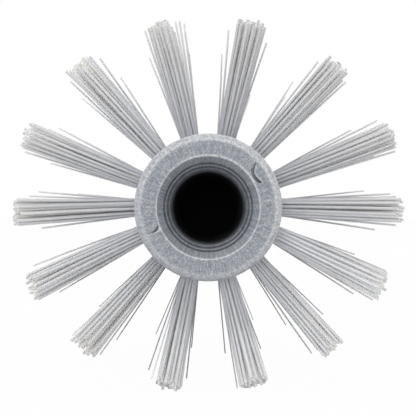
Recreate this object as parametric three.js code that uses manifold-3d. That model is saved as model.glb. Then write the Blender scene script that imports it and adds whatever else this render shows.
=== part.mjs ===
// Pipe and valve brush head. A one-piece plastic block, with a threaded handle socket in its front end, has
// tufts of stiff filament all round in rings and lengthwise columns, and a flat steel wire under each column
// anchors its tufts. Towards the block's ends the tufts fan out. The brush lies on its side: its axis is
// parallel to Y, the socket faces -Y, and the tips of the lowest two columns rest on the plane Z = 0.
// Sizes are in millimetres and angles in degrees.
import * as THREE from "three";
import { mergeVertices } from "three/addons/utils/BufferGeometryUtils.js";
import Module from "manifold-3d";

const wasm = await Module();
wasm.setup();

// Block
const BLOCK_DIAMETER = 31.75;
const BLOCK_LENGTH = 127;
const EDGE_ROUND = 1.8;
const COLLAR_LENGTH = 9.5; // bare block between an end face and the tufted skin
const SKIN_THICKNESS = 1.2; // slice of the block's surface that the tufts stand in

// Handle socket, with a right-hand trapezoid thread
const THREAD_LENGTH = 31; // from the front face
const BORE_RUN_ON = 44; // plain bore between the thread's end and the socket's floor
const THREAD_MAJOR_DIAMETER = 19.4;
const THREAD_MINOR_DIAMETER = 16.6;
const THREAD_PITCH = 5.08;
const THREAD_ROOT_WIDTH = 1.9;
const THREAD_FLANK_ANGLE = 14.5;
const MOUTH_FLARE = 1.35; // how far the countersunk mouth opens outside the thread
const MOUTH_DEPTH = 1.8;

// Tufts
const RING_COUNT = 11;
const END_RING_INSET = 16.2; // from an end face to the middle of the nearest ring
const END_RING_LEAN = 27; // of the first and last rings' tufts, towards their end of the block
const LEAN_POWER = 2; // how fast the lean grows from the middle ring to the end rings
const SIDE_COLUMNS = [-21.8, 0, 21.8]; // from the middle of the left or right sector
const CROWN_COLUMNS = [-42.2, -15, 15, 42.2]; // from the middle of the top or bottom sector
const TUFT_ROOT_DIAMETER = 4.3;
const TUFT_TIP_DIAMETER = 6.2;
const TRIM_WIDTH = 88.9; // across the tips, from side to side
const TRIM_HEIGHT = 86.6; // across the tips, from top to bottom, before the rest flat is cut
const REST_FLAT_DEPTH = 0.5; // cut off the lowest tips where they stand
const STRANDS_PER_TUFT = 3;
const STRAND_DIAMETER = 1.5;

// Anchor wires
const WIRE_THICKNESS = 0.5;
const WIRE_WIDTH = 1.2;
const WIRE_END_REACH = 1.4; // past the tufts of the end rings

const FIT_GAP = 0.3; // between pieces that seat in one another
const OVERRUN = 1; // how far a cutter runs past the face it cuts
const EMBED = 0.4; // how far joined solids run into each other
const MERGE_DISTANCE = 1e-4;

// Facets
const BLOCK_SIDES = 48;
const ROUND_STEPS = 4;
const SOCKET_SIDES = 36;
const STRAND_SIDES = 3;
const FLAT_SHARE = 0.4; // half a column's flat on the skin, as a share of the closest columns' spacing

// Sizes that follow from those above
const blockRadius = BLOCK_DIAMETER / 2;
const frontY = -BLOCK_LENGTH / 2;
const backY = BLOCK_LENGTH / 2;
const skinFrontY = frontY + COLLAR_LENGTH;
const skinBackY = backY - COLLAR_LENGTH;
const skinFloorRadius = blockRadius - SKIN_THICKNESS;
const recessRadius = skinFloorRadius - FIT_GAP;
const ringPitch = (BLOCK_LENGTH - 2 * END_RING_INSET) / (RING_COUNT - 1);
const firstRingY = frontY + END_RING_INSET;
const ringPlaces = Array.from({ length: RING_COUNT }, (_, ring) => firstRingY + ring * ringPitch);
const socketDepth = THREAD_LENGTH + BORE_RUN_ON;
const mouthRadius = THREAD_MAJOR_DIAMETER / 2 + MOUTH_FLARE;
const strandRadius = STRAND_DIAMETER / 2;
const strandRootOffset = TUFT_ROOT_DIAMETER / 2 - strandRadius;
const strandTipOffset = TUFT_TIP_DIAMETER / 2 - strandRadius;
const sectorSplit = (Math.max(...SIDE_COLUMNS) + 90 - Math.max(...CROWN_COLUMNS)) / 2;
const sectors = [
  { name: "right", middle: 0, columns: SIDE_COLUMNS, halfSpan: sectorSplit },
  { name: "top", middle: 90, columns: CROWN_COLUMNS, halfSpan: 90 - sectorSplit },
  { name: "left", middle: 180, columns: SIDE_COLUMNS, halfSpan: sectorSplit },
  { name: "bottom", middle: 270, columns: CROWN_COLUMNS, halfSpan: 90 - sectorSplit },
];
const columnAngles = sectors.flatMap(({ middle, columns }) => columns.map((column) => middle + column));
const columnSpacings = columnAngles.slice(1).map((angle, index) => angle - columnAngles[index]);
const flatHalfAngle = FLAT_SHARE * Math.min(...columnSpacings);

const toRadians = THREE.MathUtils.degToRad;
const toDegrees = THREE.MathUtils.radToDeg;

// Closed geometry to solid and back

function solidOf(geometry) {
  geometry.deleteAttribute("normal");
  geometry.deleteAttribute("uv");
  const merged = mergeVertices(geometry, MERGE_DISTANCE);
  return new wasm.Manifold(
    new wasm.Mesh({
      numProp: 3,
      vertProperties: merged.attributes.position.array,
      triVerts: new Uint32Array(merged.index.array),
    }),
  );
}

function geometryOf(solid) {
  const mesh = solid.getMesh();
  const geometry = new THREE.BufferGeometry();
  geometry.setAttribute("position", new THREE.BufferAttribute(mesh.vertProperties, 3));
  geometry.setIndex(new THREE.BufferAttribute(mesh.triVerts, 1));
  geometry.computeVertexNormals();
  return geometry;
}

function joined(solids) {
  return solids.reduce((whole, solid) => whole.add(solid));
}

// Solids about the brush's axis

function turned(profile, sides) {
  return solidOf(new THREE.LatheGeometry(profile, sides));
}

function roundBar(radius, fromY, toY) {
  const profile = [
    new THREE.Vector2(0, fromY),
    new THREE.Vector2(radius, fromY),
    new THREE.Vector2(radius, toY),
    new THREE.Vector2(0, toY),
  ];
  return turned(profile, SOCKET_SIDES);
}

// A cross-section, drawn as seen from the front, run along the brush's axis.
function alongAxis(shape, fromY, toY) {
  const geometry = new THREE.ExtrudeGeometry(shape, { depth: toY - fromY, steps: 1, bevelEnabled: false });
  geometry.rotateX(Math.PI / 2);
  geometry.translate(0, toY, 0);
  return solidOf(geometry);
}

function onCircle(radius, angle) {
  const turn = toRadians(angle);
  return new THREE.Vector2(radius * Math.cos(turn), radius * Math.sin(turn));
}

// Turns a piece's X outwards along a column, its Y along the brush and its Z round the block.
function columnFrame(columnAngle, y = 0) {
  return new THREE.Matrix4().makeRotationY(-toRadians(columnAngle)).setPosition(0, y, 0);
}

// Corners round the block of the flats that the columns stand on.
function flatCorners(angles) {
  return angles.flatMap((angle) => [angle - flatHalfAngle, angle + flatHalfAngle]);
}

// Anchor wires

const wireLength = ringPlaces.at(-1) - ringPlaces[0] + TUFT_ROOT_DIAMETER + 2 * WIRE_END_REACH;
const wireTop = recessRadius * Math.cos(toRadians(flatHalfAngle));
const wireFloor = wireTop - WIRE_WIDTH;

function anchorWire() {
  const wire = new THREE.BoxGeometry(WIRE_WIDTH, wireLength, WIRE_THICKNESS);
  wire.translate(wireFloor + WIRE_WIDTH / 2, 0, 0);
  return wire;
}

// The groove in the block that a wire lies in, open under the skin.
function wireGroove(columnAngle) {
  const depth = WIRE_WIDTH + FIT_GAP + OVERRUN;
  const groove = new THREE.BoxGeometry(depth, wireLength + 2 * FIT_GAP, WIRE_THICKNESS + 2 * FIT_GAP);
  groove.translate(wireFloor - FIT_GAP + depth / 2, 0, 0);
  groove.applyMatrix4(columnFrame(columnAngle));
  return solidOf(groove);
}

// Block

function blockBlank() {
  const profile = new THREE.Path();
  profile.moveTo(0, frontY);
  profile.lineTo(blockRadius - EDGE_ROUND, frontY);
  profile.absarc(blockRadius - EDGE_ROUND, frontY + EDGE_ROUND, EDGE_ROUND, -Math.PI / 2, 0, false);
  profile.lineTo(blockRadius, backY - EDGE_ROUND);
  profile.absarc(blockRadius - EDGE_ROUND, backY - EDGE_ROUND, EDGE_ROUND, 0, Math.PI / 2, false);
  profile.lineTo(0, backY);
  return turned(profile.getPoints(ROUND_STEPS), BLOCK_SIDES);
}

// The belt that the skin slices fill between the two collars.
function skinRecess() {
  const belt = new THREE.Shape();
  belt.absarc(0, 0, blockRadius + OVERRUN, 0, 2 * Math.PI, false);
  const inside = flatCorners(columnAngles).map((angle) => onCircle(recessRadius, angle));
  belt.holes.push(new THREE.Path(inside));
  return alongAxis(belt, skinFrontY - FIT_GAP, skinBackY + FIT_GAP);
}

// The thread's groove as one helical ridge: a trapezoid section carried round the axis, closed at both ends.
function threadRidge() {
  const majorRadius = THREAD_MAJOR_DIAMETER / 2;
  const innerRadius = THREAD_MINOR_DIAMETER / 2 - EMBED;
  const flankRun = (majorRadius - innerRadius) * Math.tan(toRadians(THREAD_FLANK_ANGLE));
  const section = [
    [innerRadius, -THREAD_ROOT_WIDTH / 2 - flankRun],
    [innerRadius, THREAD_ROOT_WIDTH / 2 + flankRun],
    [majorRadius, THREAD_ROOT_WIDTH / 2],
    [majorRadius, -THREAD_ROOT_WIDTH / 2],
  ];
  const corners = section.length;
  const turns = Math.ceil(THREAD_LENGTH / THREAD_PITCH) + 2;
  const steps = turns * SOCKET_SIDES;
  const positions = [];
  const triangles = [];
  for (let step = 0; step <= steps; step++) {
    const turn = step / SOCKET_SIDES;
    const angle = -turn * 2 * Math.PI;
    const y = frontY + (turn - 1) * THREAD_PITCH;
    section.forEach(([radius, rise]) => {
      positions.push(radius * Math.cos(angle), y + rise, radius * Math.sin(angle));
    });
  }
  for (let step = 0; step < steps; step++) {
    for (let corner = 0; corner < corners; corner++) {
      const a = step * corners + corner;
      const b = step * corners + ((corner + 1) % corners);
      triangles.push(a, b, b + corners, a, b + corners, a + corners);
    }
  }
  const last = steps * corners;
  triangles.push(0, 2, 1, 0, 3, 2, last, last + 1, last + 2, last, last + 2, last + 3);
  const geometry = new THREE.BufferGeometry();
  geometry.setAttribute("position", new THREE.Float32BufferAttribute(positions, 3));
  geometry.setIndex(triangles);
  return solidOf(geometry);
}

function socketMouth() {
  const profile = [
    new THREE.Vector2(0, frontY - OVERRUN),
    new THREE.Vector2(mouthRadius, frontY - OVERRUN),
    new THREE.Vector2(mouthRadius, frontY),
    new THREE.Vector2(THREAD_MAJOR_DIAMETER / 2, frontY + MOUTH_DEPTH),
    new THREE.Vector2(0, frontY + MOUTH_DEPTH),
  ];
  return turned(profile, BLOCK_SIDES);
}

function socketCutter() {
  const bore = roundBar(THREAD_MINOR_DIAMETER / 2, frontY, frontY + socketDepth);
  const threadedSpan = roundBar(THREAD_MAJOR_DIAMETER / 2 + OVERRUN, frontY, frontY + THREAD_LENGTH);
  return joined([bore, threadRidge().intersect(threadedSpan), socketMouth()]);
}

function coreBlock() {
  return blockBlank().subtract(joined([socketCutter(), skinRecess(), ...columnAngles.map(wireGroove)]));
}

// Tufts

// Distance from the axis to the trimmed tips in a direction round the brush.
function trimRadius(angle) {
  const turn = toRadians(angle);
  return 1 / Math.hypot(Math.cos(turn) / (TRIM_WIDTH / 2), Math.sin(turn) / (TRIM_HEIGHT / 2));
}

// How far a ring's tufts lean along the brush: upright in the middle, more and more towards the ends.
function ringLean(ring) {
  const share = (2 * ring) / (RING_COUNT - 1) - 1;
  return END_RING_LEAN * Math.sign(share) * Math.abs(share) ** LEAN_POWER;
}

// Two ends of a strand in its column's frame. It spreads from the tuft's middle line and is cut square to it,
// and it starts inside the skin.
function strandEnds(columnAngle, lean, around) {
  const middle = new THREE.Vector3(skinFloorRadius + EMBED, 0, 0);
  const aside = new THREE.Vector3(0, Math.sin(around), Math.cos(around));
  const root = aside.clone().multiplyScalar(strandRootOffset);
  const tip = aside.clone().multiplyScalar(strandTipOffset).setX(trimRadius(columnAngle) - middle.x);
  const hinge = new THREE.Vector3(0, 0, 1);
  [root, tip].forEach((end) => end.applyAxisAngle(hinge, toRadians(lean)));
  const run = tip.clone().sub(root);
  root.addScaledVector(run, -root.x / run.x);
  return [root.add(middle), tip.add(middle)];
}

function strand(root, tip) {
  const sideAngles = Array.from({ length: STRAND_SIDES }, (_, side) => (360 * side) / STRAND_SIDES);
  const section = new THREE.Shape(sideAngles.map((angle) => onCircle(strandRadius, angle)));
  const run = tip.clone().sub(root);
  const prism = new THREE.ExtrudeGeometry(section, { depth: run.length(), steps: 1, bevelEnabled: false });
  const lean = new THREE.Quaternion().setFromUnitVectors(new THREE.Vector3(0, 0, 1), run.normalize());
  prism.applyQuaternion(lean);
  prism.translate(root.x, root.y, root.z);
  return prism;
}

// The strands of one tuft, turned half round from one ring to the next.
function tuft(columnAngle, ring) {
  return Array.from({ length: STRANDS_PER_TUFT }, (_, index) => {
    const around = (index / STRANDS_PER_TUFT + ring / 2) * 2 * Math.PI;
    const prism = strand(...strandEnds(columnAngle, ringLean(ring), around));
    prism.applyMatrix4(columnFrame(columnAngle, ringPlaces[ring]));
    return solidOf(prism);
  });
}

// A lengthwise slice of the block's skin over one sector, flat under each column.
function skinSlice({ middle, columns, halfSpan }) {
  const gapAngle = toDegrees(FIT_GAP / 2 / skinFloorRadius);
  const angles = [
    middle - halfSpan + gapAngle,
    ...flatCorners(columns.map((column) => middle + column)),
    middle + halfSpan - gapAngle,
  ];
  const outside = angles.map((angle) => onCircle(blockRadius, angle));
  const inside = angles.map((angle) => onCircle(skinFloorRadius, angle));
  return alongAxis(new THREE.Shape([...outside, ...inside.reverse()]), skinFrontY, skinBackY);
}

function bristleSector(sector) {
  const rings = ringPlaces.map((_, ring) => ring);
  const angles = sector.columns.map((column) => sector.middle + column);
  const strands = angles.flatMap((columnAngle) => rings.flatMap((ring) => tuft(columnAngle, ring)));
  return joined([skinSlice(sector), ...strands]);
}

// Cuts the lowest tips flat at a height from the axis.
function cutToRest(solid, restZ) {
  const slab = new THREE.BoxGeometry(TRIM_WIDTH, BLOCK_LENGTH, TRIM_HEIGHT);
  slab.translate(0, 0, restZ - TRIM_HEIGHT / 2);
  return solid.subtract(solidOf(slab));
}

// Assembly

const blockPlastic = new THREE.MeshStandardMaterial({ color: 0x979ca4, roughness: 0.6, metalness: 0 });
const filament = new THREE.MeshStandardMaterial({ color: 0xc6c8cc, roughness: 0.45, metalness: 0 });
const stainless = new THREE.MeshStandardMaterial({ color: 0xb4b6b8, roughness: 0.3, metalness: 1 });

function addPiece(group, name, geometry, material) {
  const mesh = new THREE.Mesh(geometry, material.clone());
  mesh.name = name;
  group.add(mesh);
  return mesh;
}

const bristles = sectors.map((sector) => ({ name: `bristles_${sector.name}`, solid: bristleSector(sector) }));
const lowestTip = Math.min(...bristles.map(({ solid }) => solid.boundingBox().min[2]));
const restZ = lowestTip + REST_FLAT_DEPTH;

const brush = new THREE.Group();
brush.position.z = -restZ;
addPiece(brush, "core_block", geometryOf(coreBlock()), blockPlastic);
bristles.forEach(({ name, solid }) => addPiece(brush, name, geometryOf(cutToRest(solid, restZ)), filament));
columnAngles.forEach((columnAngle, index) => {
  const name = `anchor_wire_${String(index + 1).padStart(2, "0")}`;
  const wire = addPiece(brush, name, anchorWire(), stainless);
  wire.rotation.y = -toRadians(columnAngle);
});

export default brush;
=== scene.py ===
import bpy
import numpy as np
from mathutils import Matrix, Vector


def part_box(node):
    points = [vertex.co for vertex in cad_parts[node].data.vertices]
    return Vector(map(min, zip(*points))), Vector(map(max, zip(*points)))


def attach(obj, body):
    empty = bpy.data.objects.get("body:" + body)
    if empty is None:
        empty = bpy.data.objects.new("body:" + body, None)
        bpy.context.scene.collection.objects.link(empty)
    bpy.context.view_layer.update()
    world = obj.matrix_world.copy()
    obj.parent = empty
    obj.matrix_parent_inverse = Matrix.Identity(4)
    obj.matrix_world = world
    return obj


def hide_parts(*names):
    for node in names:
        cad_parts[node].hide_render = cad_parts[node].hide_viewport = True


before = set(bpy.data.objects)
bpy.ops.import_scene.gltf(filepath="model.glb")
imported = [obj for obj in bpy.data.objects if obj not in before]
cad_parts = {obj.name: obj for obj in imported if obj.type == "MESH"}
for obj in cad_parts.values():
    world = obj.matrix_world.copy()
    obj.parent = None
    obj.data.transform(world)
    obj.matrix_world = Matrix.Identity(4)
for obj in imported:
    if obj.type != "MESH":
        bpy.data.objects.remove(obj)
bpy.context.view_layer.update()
print("frame loaded:", len(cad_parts), "nodes")

# Shapes are worked out in millimetres from the middle of the socket end: x right, y into the block, z up
blockLow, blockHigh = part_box("core_block")
frontY = blockLow[1]
axisZ = (blockLow[2] + blockHigh[2]) / 2
mm = 0.001


def toFrame(points):
    # millimetres from the socket end's middle to metres in the shared frame
    return np.asarray(points, dtype=float).reshape(-1, 3) * mm + np.array([0.0, frontY, axisZ])


def smoothStep(low, high, values):
    # 0 below low, 1 above high, and an S curve between
    share = np.clip((values - low) / (high - low), 0.0, 1.0)
    return share * share * (3 - 2 * share)


def fallStep(low, high, values):
    # 1 below low, 0 above high, and the same S curve between
    return smoothStep(-high, -low, -values)


def hump(values, middle, width):
    # a bell of height 1 round the middle
    return np.exp(-(((values - middle) / width) ** 2))


def swing(angles, towards, turns=1):
    # 1 at an angle given in degrees and -1 half a wave away, with so many waves in a full turn
    return np.cos(turns * (angles - np.radians(towards)))


def weld(points, quads, size=1e-5):
    # rows that meet at a seam or a pole become shared points, and faces that close up are dropped
    keys = np.round(points / size).astype(np.int64)
    _, first, place = np.unique(keys, axis=0, return_index=True, return_inverse=True)
    corners = place.reshape(-1)[quads]
    triangles = np.concatenate([corners[:, [0, 1, 2]], corners[:, [0, 2, 3]]])
    a, b, c = triangles.T
    return first, triangles[(a != b) & (b != c) & (c != a)]


def gridQuads(rows, columns):
    # four corners of every cell of a rows by columns grid
    corner = (np.arange(rows - 1)[:, None] * columns + np.arange(columns - 1)[None, :]).reshape(-1)
    return np.stack([corner, corner + 1, corner + columns + 1, corner + columns], axis=1)


def makePiece(name, points, faces, sharpAngle, finish):
    # a mesh object at the origin, smooth except along edges sharper than the angle
    mesh = bpy.data.meshes.new(name)
    mesh.from_pydata(toFrame(points).tolist(), [], faces)
    mesh.polygons.foreach_set("use_smooth", np.ones(len(mesh.polygons), dtype=bool))
    mesh.set_sharp_from_angle(angle=np.radians(sharpAngle))
    mesh.materials.append(finish)
    mesh.update()
    piece = bpy.data.objects.new(name, mesh)
    bpy.context.scene.collection.objects.link(piece)
    return piece


def putValues(piece, name, kind, domain, values):
    # a named value on every point or face for the material to read
    layer = piece.data.attributes.new(name, kind, domain)
    part = {"FLOAT_VECTOR": "vector", "FLOAT_COLOR": "color"}.get(kind, "value")
    layer.data.foreach_set(part, np.ravel(values).astype(np.float32))


# Materials

def addNode(tree, kind, settings=None, inputs=None):
    made = tree.nodes.new(kind)
    for name, value in (settings or {}).items():
        setattr(made, name, value)
    for name, value in (inputs or {}).items():
        made.inputs[name].default_value = value
    return made


def startFinish(name):
    finish = bpy.data.materials.new(name)
    finish.use_nodes = True
    tree = finish.node_tree
    return finish, tree, tree.nodes["Principled BSDF"]


def objectPlace(tree):
    return addNode(tree, "ShaderNodeTexCoord").outputs["Object"]


def noiseOn(tree, source, scale, detail=2.0, rough=0.5):
    made = addNode(tree, "ShaderNodeTexNoise", inputs={"Scale": scale, "Detail": detail, "Roughness": rough})
    tree.links.new(source, made.inputs["Vector"])
    return made.outputs["Fac"]


def rampOf(tree, source, stops):
    # colours along a value, as (place, colour)
    made = addNode(tree, "ShaderNodeValToRGB")
    slots = made.color_ramp.elements
    while len(slots) < len(stops):
        slots.new(0.5)
    for slot, (place, colour) in zip(slots, stops):
        slot.position = place
        slot.color = (*colour, 1.0)
    tree.links.new(source, made.inputs["Fac"])
    return made.outputs["Color"]


def spanOf(tree, source, low, high):
    # a value from 0 to 1 stretched to run from low to high
    made = addNode(tree, "ShaderNodeMapRange", inputs={"To Min": low, "To Max": high})
    tree.links.new(source, made.inputs["Value"])
    return made.outputs["Result"]


def mathOf(tree, operation, *sources):
    made = addNode(tree, "ShaderNodeMath", {"operation": operation})
    for place, source in enumerate(sources):
        if isinstance(source, (int, float)):
            made.inputs[place].default_value = source
        else:
            tree.links.new(source, made.inputs[place])
    return made.outputs[0]


def sharesOf(tree, sources, shares):
    # the sum of the sources, each times its share
    scaled = [mathOf(tree, "MULTIPLY", source, share) for source, share in zip(sources, shares)]
    total = scaled[0]
    for part in scaled[1:]:
        total = mathOf(tree, "ADD", total, part)
    return total


def mixColours(tree, share, first, second, blend="MIX"):
    made = addNode(tree, "ShaderNodeMix", {"data_type": "RGBA", "blend_type": blend})
    for place, source in ((0, share), (6, first), (7, second)):  # the node's factor and its two colours
        if isinstance(source, (int, float)):
            made.inputs[place].default_value = source
        elif isinstance(source, tuple):
            made.inputs[place].default_value = (*source, 1.0)
        else:
            tree.links.new(source, made.inputs[place])
    return made.outputs[2]


def timesColour(tree, first, second):
    return mixColours(tree, 1.0, first, second, "MULTIPLY")


def readValue(tree, name, output="Fac"):
    return addNode(tree, "ShaderNodeAttribute", {"attribute_name": name}).outputs[output]


plainWhite = (1.0, 1.0, 1.0)


def blockPlastic():
    # mottled grey moulding: fine pale flecks, short streaks towards the socket, pale edges that are partly
    # worn and partly painted highlight, and painted shade in the socket, where it is also matt
    look = {
        "deep": (0.205, 0.23, 0.275), "plain": (0.305, 0.33, 0.37), "fleck": (0.52, 0.535, 0.56),
        "wornAndHighlit": (0.76, 0.765, 0.775), "cloud": (0.93, 0.93, 0.935), "leastPale": (0.30, 0.30, 0.30),
        "fleckScale": 4400.0, "blotchScale": 1500.0, "cloudScale": 240.0, "streakScale": 3.2,
        # shares of flecks, blotches and streaks in the grain, and of blotches and flecks in patches of wear
        "grainShares": (0.50, 0.14, 0.36), "patchShares": (0.6, 0.4),
        "roughness": (0.42, 0.62), "darkRoughness": 0.5, "bump": 0.3, "bumpHeight": 0.00006,
    }
    finish, tree, shader = startFinish("grey_moulded_block")
    place = objectPlace(tree)
    flecks = noiseOn(tree, place, look["fleckScale"], detail=1.5)
    blotches = noiseOn(tree, place, look["blotchScale"], rough=0.6)
    clouds = noiseOn(tree, place, look["cloudScale"])
    streaks = noiseOn(tree, readValue(tree, "streak", "Vector"), look["streakScale"], rough=0.6)
    grain = sharesOf(tree, (flecks, blotches, streaks), look["grainShares"])
    colour = rampOf(tree, grain, [(0.40, look["deep"]), (0.50, look["plain"]), (0.62, look["fleck"])])
    colour = timesColour(tree, colour, rampOf(tree, clouds, [(0.35, look["cloud"]), (0.65, plainWhite)]))
    patches = sharesOf(tree, (blotches, flecks), look["patchShares"])
    patches = rampOf(tree, patches, [(0.38, look["leastPale"]), (0.60, plainWhite)])
    # patchy pale wear and painted highlights, from the wear values
    wornAndHighlit = mathOf(tree, "MULTIPLY", readValue(tree, "wearAndHighlight"), patches)
    colour = mixColours(tree, wornAndHighlit, colour, look["wornAndHighlit"])
    # painted shade from the shade values, darkest deep in the socket
    colour = timesColour(tree, colour, readValue(tree, "shade", "Color"))
    tree.links.new(colour, shader.inputs["Base Color"])
    dark = mathOf(tree, "SUBTRACT", 1.0, readValue(tree, "shade"))
    matt = mathOf(tree, "MULTIPLY", dark, look["darkRoughness"])
    rough = mathOf(tree, "ADD", spanOf(tree, grain, *look["roughness"]), matt)
    tree.links.new(mathOf(tree, "MINIMUM", rough, 1.0), shader.inputs["Roughness"])
    bump = addNode(tree, "ShaderNodeBump", inputs={"Strength": look["bump"], "Distance": look["bumpHeight"]})
    tree.links.new(grain, bump.inputs["Height"])
    tree.links.new(bump.outputs["Normal"], shader.inputs["Normal"])
    return finish


def greyFilament():
    # drawn grey filament: each a little lighter or darker, cooler at the root, with painted light that makes
    # it paler and a little warmer inside the tuft and on stray filaments, and paler on the cut ends
    look = {
        "root": (0.765, 0.78, 0.81), "middle": (0.775, 0.785, 0.81), "tip": (0.78, 0.785, 0.795),
        "cut": (0.85, 0.855, 0.865), "palest": (0.94, 0.945, 0.955), "haze": (0.94, 0.94, 0.94),
        # painted light: what the colour is multiplied by inside the tuft and on stray filaments
        "within": (1.17, 1.14, 1.09), "loose": (1.18, 1.17, 1.15),
        "hazeScale": 300.0, "roughness": (0.32, 0.46),
    }
    finish, tree, shader = startFinish("grey_filament")
    colour = rampOf(tree, readValue(tree, "along"),
                    [(0.0, look["root"]), (0.45, look["middle"]), (1.0, look["tip"])])
    colour = timesColour(tree, colour, readValue(tree, "tone"))
    # painted light: paler and warmer inside the tuft, paler on stray filaments
    lighter = rampOf(tree, readValue(tree, "within"),
                     [(0.0, plainWhite), (0.5, look["within"]), (1.0, look["loose"])])
    colour = timesColour(tree, colour, lighter)
    haze = noiseOn(tree, objectPlace(tree), look["hazeScale"])
    colour = timesColour(tree, colour, rampOf(tree, haze, [(0.3, look["haze"]), (0.7, plainWhite)]))
    colour = mixColours(tree, 1.0, colour, look["palest"], "DARKEN")
    # cut ends paler, partly their own whiter look and partly painted light
    colour = mixColours(tree, readValue(tree, "cutEnd"), colour, look["cut"])
    tree.links.new(colour, shader.inputs["Base Color"])
    tree.links.new(spanOf(tree, haze, *look["roughness"]), shader.inputs["Roughness"])
    return finish


def drawnWire():
    # anchor wire: bright steel with fine lines along its length
    look = {
        "dark": (0.42, 0.43, 0.44), "bright": (0.56, 0.57, 0.58), "roughness": (0.22, 0.4),
        "lineScale": (9000.0, 60.0, 9000.0),
    }
    finish, tree, shader = startFinish("drawn_anchor_wire")
    shader.inputs["Metallic"].default_value = 1.0
    squeeze = addNode(tree, "ShaderNodeMapping", inputs={"Scale": look["lineScale"]})
    tree.links.new(objectPlace(tree), squeeze.inputs["Vector"])
    lines = noiseOn(tree, squeeze.outputs["Vector"], 1.0)
    colour = rampOf(tree, lines, [(0.3, look["dark"]), (0.7, look["bright"])])
    tree.links.new(colour, shader.inputs["Base Color"])
    tree.links.new(spanOf(tree, lines, *look["roughness"]), shader.inputs["Roughness"])
    return finish


blockFinish = blockPlastic()
filamentFinish = greyFilament()
wireFinish = drawnWire()
print("materials made")


# Block

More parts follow.
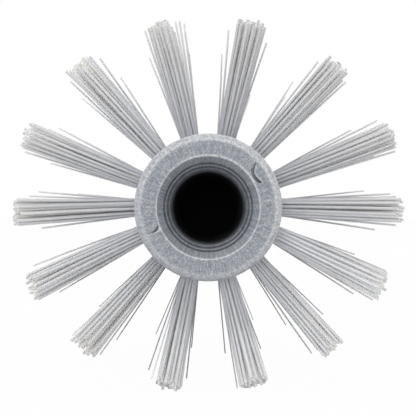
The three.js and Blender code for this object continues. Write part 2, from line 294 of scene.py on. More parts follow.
block = {
    "radius": 15.875, "length": 127.0, "edgeRound": 1.8, "mouthRadius": 11.07, "lipRound": 0.24,
    # from the end of the countersink over two steps to the thread, as (radius, depth)
    "leadIn": [(9.66, 1.8), (9.63, 1.9), (9.61, 2.5), (9.42, 2.52), (9.36, 2.3), (9.28, 2.14), (9.02, 2.14),
               (8.94, 2.3), (8.90, 3.5), (8.64, 3.55), (8.57, 3.25), (8.50, 3.12), (8.38, 3.14), (8.31, 3.4),
               (8.30, 4.6)],
    # the thread's groove and its flanks, and the depths over which it starts and runs out
    "boreRadius": 8.3, "threadDepth": 1.4, "pitch": 5.08, "rootHalf": 0.95, "flankRun": 0.36,
    "flankEdge": 0.07, "threadEnd": 31.0, "runIn": 2.4, "runOut": 1.6,
    "socketDepth": 75.0, "floorRound": 0.5, "sharpAngle": 40,
    # columns of points round the axis, stretches in degrees with finer ones for the crescents, and rows of
    # points on each stretch of the profile
    "columns": 180, "fineStretches": [(21, 47), (196, 209)], "fineStep": 0.35,
    "rows": {"rear": 6, "round": 12, "side": 30, "face": 32, "lip": 6, "cone": 7},
    # two crescent moulding marks on the socket end: points along each, as (x, z, half width, depth), and the
    # raised line beside the second one, with a painted highlight on it, as (x, z, half width)
    "crescents": [
        [(10.10, 9.45, 0.12, 0.12), (9.75, 8.80, 0.24, 0.20), (9.55, 8.30, 0.31, 0.24),
         (9.45, 7.80, 0.33, 0.25), (9.50, 7.20, 0.34, 0.25), (9.70, 6.70, 0.36, 0.27),
         (10.00, 6.20, 0.39, 0.32), (10.45, 5.75, 0.38, 0.42), (10.90, 5.40, 0.30, 0.52),
         (11.40, 5.25, 0.06, 0.30)],
        [(-10.70, -3.90, 0.09, 0.20), (-10.90, -4.45, 0.21, 0.36), (-11.20, -4.90, 0.26, 0.42),
         (-11.55, -5.20, 0.16, 0.30), (-12.00, -5.55, 0.06, 0.10)],
    ],
    "raisedLine": [(-10.35, -4.55, 0.22), (-10.35, -4.95, 0.13), (-11.45, -5.55, 0.10),
                   (-12.35, -6.00, 0.09), (-12.90, -6.15, 0.06)],
    "marking": {
        # across a mark, in shares of its half width: edges and rise of its floor, and as (place, width) its
        # wall's painted shadow, its lip and the painted highlight strips beside it, the far one weaker
        "farEdge": (-1.05, -0.75), "nearEdge": (0.8, 1.05), "rise": (-0.6, 0.7), "shallow": 0.6,
        "wall": (0.6, 0.4), "lip": (1.3, 0.3),
        "highlightNear": (1.6, 0.5), "highlightFar": (1.4, 0.3), "highlightFarShare": 0.4,
        # strength of each mark's painted highlight strips, and the depths between which they appear
        "highlightLips": (0.75, 0.0), "highlightDepth": (0.1, 0.2),
        # height of the lip and of the raised line, and the line's soft edge
        "lipHeight": 0.05, "lineEdge": (0.4, 1.1),
        # painted shadow on a mark's floor: everywhere, by its depth and beside its wall
        "shadow": 0.25, "shadowByDepth": 0.5, "shadowAtWall": 0.22,
        # the marks lie on the flat face: no deeper, no nearer the mouth and no farther out
        "faceDepth": 0.6, "mouthClear": 0.05, "faceLimit": 14.6, "pathPoints": 96,
    },
    # pale places, partly wear and partly painted highlight, by radius in millimetres and angle in degrees
    "wearAndHighlights": {
        "faceDepth": (2.0, 3.2),
        # band round each end, worn and with painted highlight, as (strength, start, full), and lines in it,
        # as (strength, radius, width)
        "band": (0.50, 14.0, 14.6), "bandLines": [(0.34, 14.6, 0.35), (0.40, 15.85, 0.40)],
        # painted highlight: the band is brightest towards the upper right
        "bandLevel": 0.95, "bandSwing": 0.28, "bandTowards": 50,
        # painted highlight along the mouth's lip, wider on its upper side
        "lipRadius": 11.1, "lipWidth": 0.14, "lipWider": 0.09,
        "lipLevel": 1.08, "lipSwing": 0.16, "lipTowards": 80,
        # share of the marks' painted highlights, and the most that a place is paled
        "marks": 0.8, "most": 1.5,
    },
    # painted shade, by radius and depth in millimetres and angle in degrees
    "shading": {
        # where the socket starts inside the mouth, and the painted shade over the whole socket
        "mouthEdge": (0.05, 0.2), "socket": 0.15,
        # painted shade at the first threads, as (darkening, start, full, fading from, gone), and in the deep
        # bore, as (darkening, start, full)
        "threads": (0.12, 1.75, 1.95, 4.0, 8.0), "deepBore": (0.985, 12.0, 40.0),
        # painted shade inside the socket, darkest towards the upper left
        "coneSwing": 0.12, "coneTowards": 135,
        # painted shade in the two grooves of the lead-in, as (radius, width)
        "groove": 0.3, "grooves": [(9.5, 0.13), (8.77, 0.14)],
        # painted shade under the front edge: darkening, from and to radius, from and to share of the way down
        "underside": 0.3, "undersideRadius": (15.2, 15.8), "undersideDown": (0.2, 0.9),
    },
    # streaks towards the socket: radius and stretch of their pattern, and its way from the noise's own middle
    "streakRadius": 13, "streakStretch": 0.18, "streakOffset": 40.37,
}


def cornersCut(points, times):
    # each pass swaps a corner for two points a quarter of the way along its sides
    points = np.asarray(points, dtype=float)
    for _ in range(times):
        near = 0.75 * points[:-1] + 0.25 * points[1:]
        far = 0.25 * points[:-1] + 0.75 * points[1:]
        between = np.stack([near, far], axis=1).reshape(-1, 2)
        points = np.concatenate([points[:1], between, points[-1:]])
    return points


def spline(points, samples):
    # a smooth path through the points: straight steps, then averaged over a sliding window
    points = np.asarray(points, dtype=float)
    place = np.linspace(0, len(points) - 1, samples)
    path = np.stack([np.interp(place, np.arange(len(points)), column) for column in points.T], axis=1)
    wide = samples // len(points)
    half = wide // 2
    padded = np.concatenate([np.repeat(path[:1], half, axis=0), path, np.repeat(path[-1:], half, axis=0)])
    window = wide + 1 - wide % 2
    kernel = np.ones(window) / window
    smooth = [np.convolve(column, kernel, "same")[half: half + samples] for column in padded.T]
    return np.stack(smooth, axis=1)


def nearPath(path, x, z):
    # distance to the nearest point of a path in shares of its half width there, more than 0 left of its way,
    # and that point's row
    path = spline(path, block["marking"]["pathPoints"])
    ahead = np.gradient(path[:, :2], axis=0)
    ahead /= np.linalg.norm(ahead, axis=1, keepdims=True)
    offX, offZ = x[..., None] - path[:, 0], z[..., None] - path[:, 1]
    share = np.hypot(offX, offZ) / path[:, 2]
    nearest = np.argmin(share, axis=-1)
    left = np.sign(ahead[:, 0] * offZ - ahead[:, 1] * offX)
    pick = nearest[..., None]
    signed = np.take_along_axis(share, pick, -1) * np.take_along_axis(left, pick, -1)
    return signed[..., 0], path[nearest]


def crescentMarks(x, z):
    # depth, painted shadow and painted highlights of the marks: a floor that deepens to its left wall, with a
    # low lip above it
    marking = block["marking"]
    depth, shadow, pale = np.zeros_like(x), np.zeros_like(x), np.zeros_like(x)
    height = marking["lipHeight"]
    for mark, lip in zip(block["crescents"], marking["highlightLips"]):
        share, spot = nearPath(mark, x, z)
        deepness = spot[..., 3]
        floor = smoothStep(*marking["farEdge"], share) * fallStep(*marking["nearEdge"], share)
        slope = marking["shallow"] + (1 - marking["shallow"]) * smoothStep(*marking["rise"], share)
        depth += deepness * floor * slope - height * hump(share, *marking["lip"]) * (lip > 0)
        atWall = marking["shadowAtWall"] * hump(share, *marking["wall"])
        shadow += floor * (marking["shadow"] + marking["shadowByDepth"] * deepness + atWall)
        strips = hump(share, *marking["highlightNear"])
        strips = strips + marking["highlightFarShare"] * hump(-share, *marking["highlightFar"])
        pale += lip * strips * smoothStep(*marking["highlightDepth"], deepness)
    # the raised line, with a painted highlight on it
    share, _ = nearPath(block["raisedLine"], x, z)
    line = fallStep(*marking["lineEdge"], np.abs(share))
    return depth - height * line, shadow, np.clip(pale + line, 0, 1)


def blockAngles():
    # even steps round the axis, finer where the crescents are
    even = np.linspace(0, 2 * np.pi, block["columns"] + 1)
    fine = [np.radians(np.arange(start, stop, block["fineStep"])) for start, stop in block["fineStretches"]]
    return np.unique(np.round(np.concatenate([even, *fine]), 6))


def blockProfile():
    # rows of the turned part, from the closed end's middle over the outside into the socket, as (radius,
    # depth)
    r, e, length, rows = block["radius"], block["edgeRound"], block["length"], block["rows"]
    turn = np.linspace(0, np.pi / 2, rows["round"])
    out = np.linspace(0, r - e, rows["rear"])[:-1]
    rear = np.stack([out, np.full_like(out, length)], axis=1)
    rearRound = np.stack([r - e + e * np.sin(turn), length - e + e * np.cos(turn)], axis=1)
    down = np.linspace(length - e, e, rows["side"])[1:-1]
    side = np.stack([np.full_like(down, r), down], axis=1)
    frontRound = np.stack([r - e + e * np.cos(turn), e - e * np.sin(turn)], axis=1)
    lip, mouth = block["lipRound"], np.array([block["mouthRadius"], 0.0])
    lipStart = mouth + [lip, 0]
    across = np.linspace(r - e, lipStart[0], rows["face"])[1:-1]
    flat = np.stack([across, np.zeros_like(across)], axis=1)
    coneEnd = np.array(block["leadIn"][0])
    lipEnd = mouth + (coneEnd - mouth) / np.linalg.norm(coneEnd - mouth) * lip
    share = np.linspace(0, 1, rows["lip"])[:, None]
    lipRound = (1 - share) ** 2 * lipStart + 2 * share * (1 - share) * mouth + share ** 2 * lipEnd
    cone = lipEnd + np.linspace(0, 1, rows["cone"])[1:-1, None] * (coneEnd - lipEnd)
    leadIn = cornersCut(block["leadIn"], 2)
    return np.concatenate([rear, rearRound, side, frontRound, flat, lipRound, cone, leadIn])


def threadRows(angles):
    # rows that climb with the thread: depth is the pitch times the turns less the angle's share of a turn,
    # and the groove's section is set by the part of a turn
    pitch, rootHalf, edge = block["pitch"], block["rootHalf"], block["flankEdge"]
    start, end = block["leadIn"][-1][1], block["threadEnd"]
    first, last = start / pitch, end / pitch + 1
    flankEnd = rootHalf + block["flankRun"]
    steps = np.array([0, rootHalf - edge, rootHalf + edge, flankEnd - edge, flankEnd + edge, pitch / 2])
    steps = np.unique(np.concatenate([steps, pitch - steps[1:]])) / pitch
    turns = (np.arange(0, last + 1)[:, None] + steps).reshape(-1)
    turns = np.concatenate([[first], turns[(turns > first) & (turns < last)], [last]])
    depth = np.clip(pitch * (turns[:, None] - angles / (2 * np.pi)), start, end)
    away = np.abs((turns + 0.5) % 1 - 0.5) * pitch
    groove = smoothStep(0, 1, np.clip((flankEnd - away) / block["flankRun"], 0, 1))[:, None]
    groove = groove * smoothStep(start, start + block["runIn"], depth)
    groove = groove * fallStep(end - block["runOut"], end, depth)
    return block["boreRadius"] + block["threadDepth"] * groove, depth


def socketFloor():
    # rows of the socket's closed bottom with a rounded corner, as (radius, depth)
    r, deep, corner = block["boreRadius"], block["socketDepth"], block["floorRound"]
    return np.array([(r, deep - corner), (r - 0.2 * corner, deep - 0.3 * corner), (r - corner, deep),
                     (r / 2, deep), (0, deep)])


def wearAndHighlightPlaces(radius, depth, angles, front, pale, shadow):
    # a pale band round both ends, partly wear and partly painted highlight, brightest at the upper right, and
    # a painted highlight round the mouth's lip
    wearAndHighlights = block["wearAndHighlights"]
    near, far = wearAndHighlights["faceDepth"]
    back = smoothStep(block["length"] - far, block["length"] - near, depth)
    strength, start, full = wearAndHighlights["band"]
    band = strength * smoothStep(start, full, radius)
    for strength, middle, width in wearAndHighlights["bandLines"]:
        band = band + strength * hump(radius, middle, width)
    level = wearAndHighlights["bandLevel"] + wearAndHighlights["bandSwing"] * swing(angles, wearAndHighlights["bandTowards"])
    wearAndHighlight = (front + back) * band * level
    towards = wearAndHighlights["lipTowards"]
    width = wearAndHighlights["lipWidth"] + wearAndHighlights["lipWider"] * np.clip(swing(angles, towards), 0, 1)
    level = wearAndHighlights["lipLevel"] + wearAndHighlights["lipSwing"] * swing(angles, towards, 2)
    wearAndHighlight = wearAndHighlight + front * hump(radius, wearAndHighlights["lipRadius"], width) * level
    # the marks' painted highlights are added, and less is paled in their painted shadow
    return np.clip((wearAndHighlight + wearAndHighlights["marks"] * pale) * (1 - shadow), 0, wearAndHighlights["most"])


def shadedPlaces(radius, depth, angles, front, shadow):
    # painted shade: 1 in the open, less in the socket and its grooves, next to nothing deep in the bore, less
    # inside the socket towards the upper left, and less under the front edge and on the marks' floors. Rows
    # deeper than the socket's floor are the closed end
    shading = block["shading"]
    near, far = shading["mouthEdge"]
    mouth = block["mouthRadius"]
    inside = fallStep(mouth - far, mouth - near, radius) * (depth < block["socketDepth"] + 1)
    darkening, start, full, fading, gone = shading["threads"]
    threads = darkening * inside * smoothStep(start, full, depth) * fallStep(fading, gone, depth)
    shade = 1 - shading["socket"] * inside - threads
    darkening, start, full = shading["deepBore"]
    shade = shade * (1 - darkening * inside * smoothStep(start, full, depth))
    shade = shade * (1 - shading["coneSwing"] * swing(angles, shading["coneTowards"]) * inside)
    grooves = sum(hump(radius, middle, width) for middle, width in shading["grooves"])
    shade = shade * (1 - shading["groove"] * inside * grooves)
    down = smoothStep(*shading["undersideDown"], -np.sin(angles))
    under = shading["underside"] * front * smoothStep(*shading["undersideRadius"], radius) * down
    return shade * (1 - under) * (1 - shadow)


def makeBlock():
    # the profile's rows and the thread's rows, each carried round the axis: (r cos a, depth, r sin a)
    angles = blockAngles()
    around = np.ones_like(angles)
    profile, floor = blockProfile(), socketFloor()
    threadRadius, threadDepth = threadRows(angles)
    radius = np.concatenate([profile[:, :1] * around, threadRadius[1:], floor[:, :1] * around])
    depth = np.concatenate([profile[:, 1:] * around, threadDepth[1:], floor[:, 1:] * around])
    x, z = radius * np.cos(angles), radius * np.sin(angles)
    marking = block["marking"]
    onFace = (depth < marking["faceDepth"]) & (radius > block["mouthRadius"] + marking["mouthClear"])
    onFace = onFace & (radius < marking["faceLimit"])
    # the marks' cut, painted shadow and painted highlights, only on the flat face
    cut, shadow, pale = (np.where(onFace, part, 0) for part in crescentMarks(x, z))
    depth = depth + cut
    points = np.stack([x, depth, z], axis=-1).reshape(-1, 3)
    kept, triangles = weld(points, gridQuads(*radius.shape))
    piece = makePiece("socket_block", points[kept], triangles.tolist(), block["sharpAngle"], blockFinish)
    front = fallStep(*block["wearAndHighlights"]["faceDepth"], depth)
    # pale wear and painted highlights on the points
    wearAndHighlight = wearAndHighlightPlaces(radius, depth, angles, front, pale, shadow)
    putValues(piece, "wearAndHighlight", "FLOAT", "POINT", wearAndHighlight.reshape(-1)[kept])
    # painted shade on the points
    shade = shadedPlaces(radius, depth, angles, front, shadow)
    greys = np.stack([shade] * 3 + [np.ones_like(shade)], axis=-1)
    putValues(piece, "shade", "FLOAT_COLOR", "POINT", greys.reshape(-1, 4)[kept])
    ring = block["streakRadius"] * np.ones_like(radius)
    inward = block["streakStretch"] * (radius + depth)
    streak = np.stack([ring * np.cos(angles), inward, ring * np.sin(angles)], axis=-1)
    streak = streak + block["streakOffset"]
    putValues(piece, "streak", "FLOAT_VECTOR", "POINT", streak.reshape(-1, 3)[kept])
    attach(piece, "root")
    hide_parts("core_block")
    return piece


blockPiece = makeBlock()
print("block made:", len(blockPiece.data.polygons), "faces")


# Tufts

tufts = {
    # rings along the block, their lean in degrees at its ends, and the ellipse that the tips are trimmed to
    "rings": 11, "endInset": 16.2, "endLean": 27.0, "leanPower": 2.0, "trimWidth": 88.9, "trimHeight": 86.6,
    # radius of a filament and of a stray one, which is finer towards the bottom of the brush
    "filamentRadius": 0.32, "looseRadius": 0.23, "finerBelow": 0.07, "sides": 8, "sharpAngle": 70,
    # places along a filament that have a ring of points, and the share of its radius there
    "stations": [0.0, 0.36, 0.70, 0.995, 1.0], "taper": [1.0, 1.0, 1.0, 1.0, 0.74],
    # layers of filaments in a tuft, as (share of its radius, how many), and how far in they count as inside
    "layers": [(0.0, 1), (0.36, 5), (0.69, 10), (1.0, 14)], "insideRun": 0.4,
    # a tuft's radius at its root and its tip, how deep the roots are sunk, and room over the floor in
    # filament radii
    "rootSpread": 1.72, "tipSpread": 2.6, "sink": 1.3, "floorGap": 1.2,
    # how far chance moves a tuft's lean in degrees and its tilt, and a filament's place, turn, tip, length
    # and bow
    "leanChance": 0.7, "tiltChance": 0.15, "placeChance": 0.03, "turnChance": 0.06, "tipChance": 0.16,
    "lengthChance": 0.30, "lengthLimits": (-0.8, 0.6), "bowChance": 0.10,
    # how much lighter or darker one filament is than the next, and one tuft than the next
    "filamentTone": 0.08, "tuftTone": 0.07, "seed": 4100,
}

# Each column's angle from the right round by the top, its sector's node, its first tuft's tone, lean, length,
# sideways tilt at the tip and width at the tip, and its stray filaments as (ring, sideways place of the tip,
# extra length)
columns = [
    (-21.8, "bristles_right", 0.09, 23.0, 28.0, -1.8, 6.4,
     [(1, -5.7, 0.0), (4, -7.0, 0.3), (6, 3.1, -0.2)]),
    (0.0, "bristles_right", -0.05, 25.5, 28.5, -0.5, 5.7,
     [(1, -4.1, 0.1), (2, 3.3, 0.3), (4, -5.9, 0.0), (6, 4.8, 0.2)]),
    (21.8, "bristles_right", -0.13, 22.0, 29.2, -0.2, 5.9,
     [(0, -3.8, -0.5), (1, 4.1, 0.5), (5, 5.2, 0.4)]),
    (47.8, "bristles_top", -0.07, 20.0, 28.1, -0.3, 6.2,
     [(1, -4.1, 0.1), (1, 3.8, -0.7), (6, 6.2, -0.8), (9, 5.6, 0.9)]),
    (75.0, "bristles_top", -0.11, 21.5, 27.4, 1.0, 6.6,
     [(2, -3.4, -0.5), (2, 6.4, 0.1), (6, 7.6, 0.3), (10, -3.9, -0.3)]),
    (105.0, "bristles_top", -0.08, 23.0, 27.7, -0.1, 5.6,
     [(0, -4.5, -0.4), (0, -3.6, -0.4), (0, 3.4, -0.5), (1, -5.6, 0.4), (4, 4.8, -0.6), (5, -6.0, -0.8)]),
    (132.2, "bristles_top", 0.04, 20.0, 28.1, 0.2, 6.3,
     [(1, -4.6, -0.4), (1, 4.0, 0.3), (4, 5.3, 0.4), (6, -6.5, 0.7)]),
    (158.2, "bristles_left", 0.02, 23.5, 29.1, 0.0, 5.9,
     [(1, 3.8, 1.0), (4, -4.9, 0.7), (5, 4.8, 0.8), (9, -5.0, 1.2)]),
    (180.0, "bristles_left", -0.05, 25.0, 28.5, 1.1, 5.9,
     [(2, -2.8, -0.4), (4, -4.2, 0.9), (4, 5.5, 0.0), (9, -4.4, -0.9)]),
    (201.8, "bristles_left", 0.0, 28.0, 29.1, 1.8, 6.1,
     [(1, -2.5, -0.6), (4, 6.2, 0.9)]),
    (227.8, "bristles_bottom", -0.04, 26.5, 27.6, 0.2, 6.8,
     [(0, -3.2, -0.2), (1, 4.3, -0.7), (5, 5.8, 0.5), (7, -4.2, 0.0)]),
    (255.0, "bristles_bottom", 0.04, 26.0, 26.3, 1.5, 6.2,
     [(0, -2.3, -0.3), (2, -3.8, -0.9), (2, 5.9, 0.0), (7, 6.4, 0.7), (8, -5.5, -0.7)]),
    (285.0, "bristles_bottom", 0.09, 26.5, 26.1, -0.2, 6.8,
     [(1, -4.3, -0.2), (6, -6.3, -0.5), (6, 4.1, -0.3), (10, 4.9, 0.3)]),
    (312.2, "bristles_bottom", 0.04, 21.5, 27.2, -0.4, 5.9,
     [(2, -5.2, -0.1), (5, 3.7, -0.4), (8, -6.6, -0.4)]),
]


def trimRadius(angle):
    # distance from the axis to the trimmed tips: an ellipse a little wider than it is high
    return 1 / np.hypot(np.cos(angle) / (tufts["trimWidth"] / 2), np.sin(angle) / (tufts["trimHeight"] / 2))


def ringPlaces():
    # depth of each ring's roots, in even steps
    return np.linspace(tufts["endInset"], block["length"] - tufts["endInset"], tufts["rings"])


def ringLean():
    # upright in the middle of the brush, leaning more and more towards its ends
    share = np.linspace(-1, 1, tufts["rings"])
    return np.radians(tufts["endLean"]) * np.sign(share) * np.abs(share) ** tufts["leanPower"]


def discPlaces(dice):
    # every filament's place in its tuft's disc: layers of even spokes, each turned and moved a little by
    # chance
    rings = tufts["rings"]
    shares, counts = np.array(tufts["layers"]).T
    counts = counts.astype(int)
    size = (rings, counts.sum())
    place = np.repeat(shares, counts) + dice.normal(0, tufts["placeChance"], size)
    spin = np.concatenate([np.arange(many) * 2 * np.pi / many for many in counts])
    spin = spin + np.repeat(dice.uniform(0, 2 * np.pi, (rings, len(counts))), counts, axis=1)
    spin = spin + dice.normal(0, tufts["turnChance"], size)
    return place, place * np.cos(spin), place * np.sin(spin)


def columnEnds(angle, firstTuft, strays, dice):
    # root and tip of every filament of a column as (out, along, across): layers of a disc, small at the root
    # and larger at the tip, square to the tuft's leaning middle line
    rings, radius = tufts["rings"], block["radius"]
    firstLean, firstLength, firstTilt, firstWidth = firstTuft
    lean = ringLean()[:, None] + np.radians(dice.normal(0, tufts["leanChance"], (rings, 1)))
    lean[0] = -np.radians(firstLean)
    place, discU, discW = discPlaces(dice)
    size = place.shape
    reach = np.full((rings, 1), trimRadius(angle) - radius)
    reach[0] = firstLength
    length = reach + dice.normal(0, tufts["lengthChance"], size).clip(*tufts["lengthLimits"])
    tilt = firstTilt + dice.normal(0, tufts["tiltChance"], (rings, 1))
    tilt[0] = firstTilt
    spread = np.full((rings, 1), tufts["tipSpread"])
    spread[0] = firstWidth / 2 - tufts["filamentRadius"]
    tipU = discU * spread + dice.normal(0, tufts["tipChance"], size)
    tipW = discW * spread + tilt + dice.normal(0, tufts["tipChance"], size)
    loose = np.zeros(size)
    for ring, aside, more in strays:
        outermost = np.argmax(discW[ring] * np.sign(aside) * (1 - loose[ring]))
        tipW[ring, outermost] = aside
        tipU[ring, outermost] = 0
        length[ring, outermost] = reach[ring, 0] + more
        loose[ring, outermost] = 1
    rootY = ringPlaces()[:, None]
    cosLean, sinLean = np.cos(lean), np.sin(lean)
    rootU, rootW = discU * tufts["rootSpread"], discW * tufts["rootSpread"]
    root = np.stack([radius - sinLean * rootU, rootY + cosLean * rootU, rootW], axis=-1)
    tipOut = radius + length * cosLean - sinLean * tipU
    tip = np.stack([tipOut, rootY + length * sinLean + cosLean * tipU, tipW], axis=-1)
    run = tip - root
    root = root - run * ((root[..., :1] - (radius - tufts["sink"])) / run[..., :1])
    # 0 on the outside of a tuft, up to 0.5 inside it and 1 on stray filaments, which sets the painted light
    # in the filament's material
    within = 0.5 * smoothStep(0, tufts["insideRun"], 1 - place) * (1 - loose) + loose
    return root.reshape(-1, 3), tip.reshape(-1, 3), within.reshape(-1)


def offFloor(root, tip, turn):
    # filaments that would go through the floor end just above it
    up = np.array([np.sin(turn), 0, np.cos(turn)])
    clear = -axisZ / mm + tufts["floorGap"] * tufts["filamentRadius"]
    short = np.clip((clear - root @ up) / np.minimum(tip @ up - root @ up, -1e-6), None, 1.0)
    return np.where((tip @ up < clear)[:, None], root + (tip - root) * short[:, None], tip)


def filamentRings(root, tip, within, turn, dice):
    # a round section carried along each filament: middle plus radius times (cos k sideways, sin k across),
    # turned to the column's angle
    run = tip - root
    ahead = run / np.linalg.norm(run, axis=1, keepdims=True)
    side = np.array([0.0, 0.0, 1.0]) - ahead[:, 2:] * ahead
    side /= np.linalg.norm(side, axis=1, keepdims=True)
    over = np.cross(ahead, side)
    share = np.array(tufts["stations"])
    looseRadius = tufts["looseRadius"] - tufts["finerBelow"] * max(-np.sin(turn), 0)
    slim = np.where(within > 0.9, looseRadius, tufts["filamentRadius"])
    thick = slim[:, None] * np.array(tufts["taper"])
    bow = dice.normal(0, tufts["bowChance"], (2, len(root), 1, 1)) * (4 * share * (1 - share))[:, None]
    middle = root[:, None] + share[:, None] * run[:, None]
    middle = middle + bow[0] * side[:, None] + bow[1] * over[:, None]
    turnK = np.arange(tufts["sides"]) * 2 * np.pi / tufts["sides"]
    spoke = np.cos(turnK)[:, None] * side[:, None] + np.sin(turnK)[:, None] * over[:, None]
    local = middle[:, :, None] + thick[:, :, None, None] * spoke[:, None]
    out, alongY, across = np.moveaxis(local.reshape(-1, 3), 1, 0)
    x = out * np.cos(turn) - across * np.sin(turn)
    z = out * np.sin(turn) + across * np.cos(turn)
    return np.stack([x, alongY, z], axis=1)


def filamentFaces(count):
    # four-cornered faces along every filament, then a cap on each root and on each tip
    sides, stations = tufts["sides"], len(tufts["stations"])
    k, nextK = np.arange(sides), (np.arange(sides) + 1) % sides
    start = np.arange(count)[:, None] * stations * sides
    first = start[:, :, None] + np.arange(stations - 1)[:, None] * sides
    then = first + sides
    quads = np.stack([first + k, first + nextK, then + nextK, then + k], axis=-1).reshape(-1, 4)
    last = start + (stations - 1) * sides
    return quads.tolist(), (start + k[::-1]).tolist(), (last + k).tolist()


def makeColumn(number, angle, node, firstTone, *rest):
    # one column's filaments as one mesh, with the values that the filament's material reads
    dice = np.random.default_rng(tufts["seed"] + number)
    turn = np.radians(angle)
    root, tip, within = columnEnds(turn, rest[:4], rest[4], dice)
    points = filamentRings(root, offFloor(root, tip, turn), within, turn, dice)
    quads, rootCaps, tipCaps = filamentFaces(len(root))
    faces = quads + rootCaps + tipCaps
    piece = makePiece(f"tufts_column_{number:02d}", points, faces, tufts["sharpAngle"], filamentFinish)
    rings, size = tufts["rings"], (len(root), len(tufts["stations"]), tufts["sides"])
    tone = tufts["filamentTone"] * dice.uniform(-1, 1, (rings, len(root) // rings))
    tuftTone = dice.normal(0, tufts["tuftTone"], (rings, 1))
    tuftTone[0] = firstTone
    tone = (1 + tone + tuftTone).reshape(-1, 1, 1)
    share = np.array(tufts["stations"])[:, None]
    putValues(piece, "along", "FLOAT", "POINT", np.broadcast_to(share, size))
    putValues(piece, "tone", "FLOAT", "POINT", np.broadcast_to(tone, size))
    putValues(piece, "within", "FLOAT", "POINT", np.broadcast_to(within[:, None, None], size))
    notCut = len(quads) + len(rootCaps)
    putValues(piece, "cutEnd", "FLOAT", "FACE", np.repeat([0.0, 1.0], [notCut, len(tipCaps)]))
    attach(piece, "root")
    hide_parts(node)
    return piece


tuftPieces = [makeColumn(number, *column) for number, column in enumerate(columns, 1)]
print("tufts made:", sum(len(piece.data.polygons) for piece in tuftPieces), "faces")


# Lips round the tuft holes

lips = {
    "inner": 2.2, "outer": 2.75, "height": 0.12, "sides": 18, "sharpAngle": 60, "wearAndHighlight": 0.12,
    # how far the outer foot is sunk, the crest and the inner edge lie out, and the inner wall lies in and is
    # sunk, and the inner edge's share of the height
    "footSunk": 0.06, "crestOut": 0.08, "edgeOut": 0.06, "wallIn": 0.05, "wallSunk": 0.4, "edgeHeight": 0.6,
}


def makeLips():
    # a closed four-cornered section carried round each hole, laid on the block's round side
    inner, outer, high, sides = lips["inner"], lips["outer"], lips["height"], lips["sides"]
    section = np.array([(outer, -lips["footSunk"]), ((outer + inner) / 2 + lips["crestOut"], high),
                        (inner + lips["edgeOut"], high * lips["edgeHeight"]),
                        (inner - lips["wallIn"], -lips["wallSunk"])])
    turn = np.arange(sides)[:, None] * 2 * np.pi / sides
    angles = np.radians([column[0] for column in columns])
    across, along = section[:, 0] * np.cos(turn), section[:, 0] * np.sin(turn)
    height = block["radius"] + section[:, 1]
    around = angles[:, None, None, None] + across / block["radius"]
    depth = ringPlaces()[:, None, None] + along / np.cos(ringLean())[:, None, None]
    around, depth = np.broadcast_arrays(around, depth)
    points = np.stack([height * np.cos(around), depth, height * np.sin(around)], axis=-1).reshape(-1, 3)
    holes, corners = len(angles) * tufts["rings"], len(section)
    first = np.arange(holes)[:, None, None] * sides * corners
    k, c = np.arange(sides)[:, None], np.arange(corners)
    here, there = first + k * corners, first + (k + 1) % sides * corners
    nextC = (c + 1) % corners
    faces = np.stack([here + c, here + nextC, there + nextC, there + c], axis=-1).reshape(-1, 4)
    piece = makePiece("tuft_hole_lips", points, faces.tolist(), lips["sharpAngle"], blockFinish)
    putValues(piece, "wearAndHighlight", "FLOAT", "POINT", np.full(len(points), lips["wearAndHighlight"]))
    putValues(piece, "shade", "FLOAT_COLOR", "POINT", np.ones((len(points), 4)))
    putValues(piece, "streak", "FLOAT_VECTOR", "POINT", points)
    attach(piece, "root")
    return piece


lipPiece = makeLips()
print("hole lips made:", len(lipPiece.data.polygons), "faces")

# Anchor wires keep their own shape
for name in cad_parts:
    if name.startswith("anchor_wire"):
        wire = bpy.data.objects[name]
        wire.data.materials.clear()
        wire.data.materials.append(wireFinish)


# Floor, light and camera

studio = {
    # light from all round, share of plain white on the floor that is looked at, and the floor's own grey
    "ambient": 0.42, "floorGlow": 0.98, "floorGrey": (0.86, 0.86, 0.86, 1), "floorSize": 4.0,
    # lamps as (name, place, size, watts) aimed at the nearer end of the block
    "lamps": [("softbox_front", (-0.03, -0.62, 0.06), 0.24, 0.72),
              ("softbox_top", (-0.10, -0.35, 0.70), 0.45, 1.7),
              ("softbox_left", (-0.62, -0.15, 0.20), 0.4, 0.77),
              ("softbox_right", (0.62, -0.15, 0.20), 0.4, 0.56),
              ("softbox_back", (0.20, 0.75, 0.50), 0.5, 1.5)],
    # the camera's distance from the socket end, its lens, and how far it is moved across and up
    "cameraAway": 0.2107, "lens": 85.7, "sensor": 36.0, "clip": (0.005, 50.0), "aside": (-0.00004, -0.00013),
}


def raysThatSee(tree):
    # 1 for what the camera, a reflection or a clear material looks at
    path = addNode(tree, "ShaderNodeLightPath")
    seen = mathOf(tree, "MAXIMUM", path.outputs["Is Camera Ray"], path.outputs["Is Glossy Ray"])
    return mathOf(tree, "MAXIMUM", seen, path.outputs["Is Transmission Ray"])


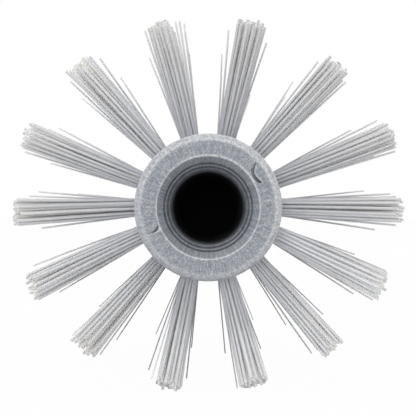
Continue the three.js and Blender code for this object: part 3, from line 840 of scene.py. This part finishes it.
def makeFloor():
    # a flat white sheet under the brush that still takes a faint shadow
    far = studio["floorSize"]
    mesh = bpy.data.meshes.new("floor")
    mesh.from_pydata([(-far, -far, 0), (far, -far, 0), (far, far, 0), (-far, far, 0)], [], [(0, 1, 2, 3)])
    floor = bpy.data.objects.new("floor", mesh)
    bpy.context.scene.collection.objects.link(floor)
    finish, tree, shader = startFinish("white_floor")
    tree.nodes.remove(shader)
    matt = addNode(tree, "ShaderNodeBsdfDiffuse", inputs={"Color": studio["floorGrey"]})
    glow = addNode(tree, "ShaderNodeEmission", inputs={"Color": (1, 1, 1, 1), "Strength": 1.0})
    blend = addNode(tree, "ShaderNodeMixShader")
    tree.links.new(mathOf(tree, "MULTIPLY", raysThatSee(tree), studio["floorGlow"]), blend.inputs[0])
    tree.links.new(matt.outputs[0], blend.inputs[1])
    tree.links.new(glow.outputs[0], blend.inputs[2])
    tree.links.new(blend.outputs[0], tree.nodes["Material Output"].inputs["Surface"])
    mesh.materials.append(finish)


def makeWorld():
    # plain white where it is looked at, and softer light on the brush
    world = bpy.data.worlds.new("white_room")
    bpy.context.scene.world = world
    world.use_nodes = True
    tree = world.node_tree
    back = tree.nodes["Background"]
    back.inputs["Color"].default_value = (1, 1, 1, 1)
    tree.links.new(spanOf(tree, raysThatSee(tree), studio["ambient"], 1.0), back.inputs["Strength"])


def aimed(thing, place, target):
    thing.location = place
    thing.rotation_euler = (Vector(target) - Vector(place)).to_track_quat("-Z", "Y").to_euler()


def makeLamps():
    for name, place, size, watts in studio["lamps"]:
        lamp = bpy.data.lights.new(name, "AREA")
        lamp.shape = "DISK"
        lamp.size = size
        lamp.energy = watts
        holder = bpy.data.objects.new(name, lamp)
        bpy.context.scene.collection.objects.link(holder)
        holder.visible_camera = False
        aimed(holder, place, (0, frontY if place[1] < 0 else -frontY, axisZ))


def makeCamera():
    # straight at the socket end, level with the axis
    data = bpy.data.cameras.new("camera")
    data.lens = studio["lens"]
    data.sensor_width = studio["sensor"]
    data.clip_start, data.clip_end = studio["clip"]
    camera = bpy.data.objects.new("camera", data)
    bpy.context.scene.collection.objects.link(camera)
    asideX, asideZ = studio["aside"]
    place = (asideX, frontY - studio["cameraAway"], axisZ + asideZ)
    aimed(camera, place, (asideX, frontY, axisZ + asideZ))
    bpy.context.scene.camera = camera


makeFloor()
makeWorld()
makeLamps()
makeCamera()
bpy.context.scene.view_settings.view_transform = "Standard"
print("floor, light and camera made")
